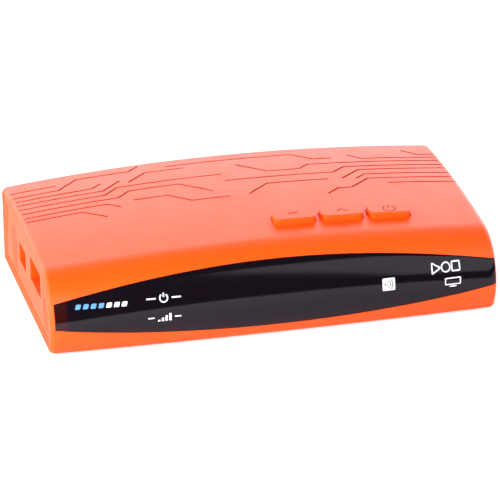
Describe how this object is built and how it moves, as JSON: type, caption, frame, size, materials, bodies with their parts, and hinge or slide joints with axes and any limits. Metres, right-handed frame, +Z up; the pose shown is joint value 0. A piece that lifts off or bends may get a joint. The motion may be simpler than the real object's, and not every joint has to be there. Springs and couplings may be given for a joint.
{
  "type": "satellite television receiver",
  "caption": "Small arched plastic set-top box with engraved trace lines, a full-width dark front window, push keys on top, side USB ports and rear aerial, HDMI, AV and power sockets.",
  "frame": {"origin": "middle of the receiver with its aerial socket, on the surface the feet stand on", "axes": "+X to the right seen from the front, +Y to the rear, +Z up"},
  "size_m": [0.17, 0.113, 0.0382],
  "materials": {
    "orange_plastic": "fine satin moulded ABS",
    "key_plastic": "fine satin moulded ABS",
    "window_acrylic": "polished smoked acrylic",
    "foot_rubber": "matt",
    "screw_steel": "zinc plated",
    "board_laminate": "solder mask over glass laminate",
    "black_plastic": "moulded",
    "cream_plastic": "moulded nylon",
    "cable_film": "flat cable film",
    "socket_steel": "nickel plated sheet",
    "tin_sheet": "tinned sheet",
    "nickel_brass": "nickel plated",
    "heat_aluminium": "extruded",
    "capacitor_can": "shrink sleeve",
    "green_light": "diffused resin",
    "red_light": "diffused resin"
  },
  "bodies": {
    "housing": {"av_jack": "black_plastic", "board_screws": "screw_steel", "bottom_tray": "orange_plastic", "cable_headers": "cream_plastic", "capacitors": "capacitor_can", "case_screws": "screw_steel", "crystal": "screw_steel", "feet": "foot_rubber", "flash_chip": "black_plastic", "front_board": "board_laminate", "front_cable": "cable_film", "front_window": "window_acrylic", "hdmi_socket": "socket_steel", "heat_sink": "heat_aluminium", "inductors": "black_plastic", "infrared_receiver": "black_plastic", "lnb_nut": "nickel_brass", "lnb_socket": "nickel_brass", "lnb_washer": "nickel_brass", "main_board": "board_laminate", "main_chip": "black_plastic", "memory_chips": "black_plastic", "power_jack": "black_plastic", "power_light": "red_light", "regulators": "black_plastic", "signal_light": "green_light", "switch_minus": "black_plastic", "switch_power": "black_plastic", "switch_up": "black_plastic", "top_cover": "orange_plastic", "tuner_can": "tin_sheet", "tuner_lid": "tin_sheet", "usb_socket_front": "socket_steel", "usb_socket_rear": "socket_steel"},
    "minus_key": {"key_minus": "key_plastic", "plunger_minus": "black_plastic"},
    "up_key": {"key_up": "key_plastic", "plunger_up": "black_plastic"},
    "power_key": {"key_power": "key_plastic", "plunger_power": "black_plastic"}
  },
  "joints": [
    {"name": "minus_press", "type": "slide", "parent": "housing", "child": "minus_key", "axis": [0, 0, -1], "range_m": [0, 0.0005], "stiffness_N_per_m": 800, "springref_m": -0.0004},
    {"name": "up_press", "type": "slide", "parent": "housing", "child": "up_key", "axis": [0, 0, -1], "range_m": [0, 0.0005], "stiffness_N_per_m": 800, "springref_m": -0.0004},
    {"name": "power_press", "type": "slide", "parent": "housing", "child": "power_key", "axis": [0, 0, -1], "range_m": [0, 0.0005], "stiffness_N_per_m": 800, "springref_m": -0.0004}
  ]
}
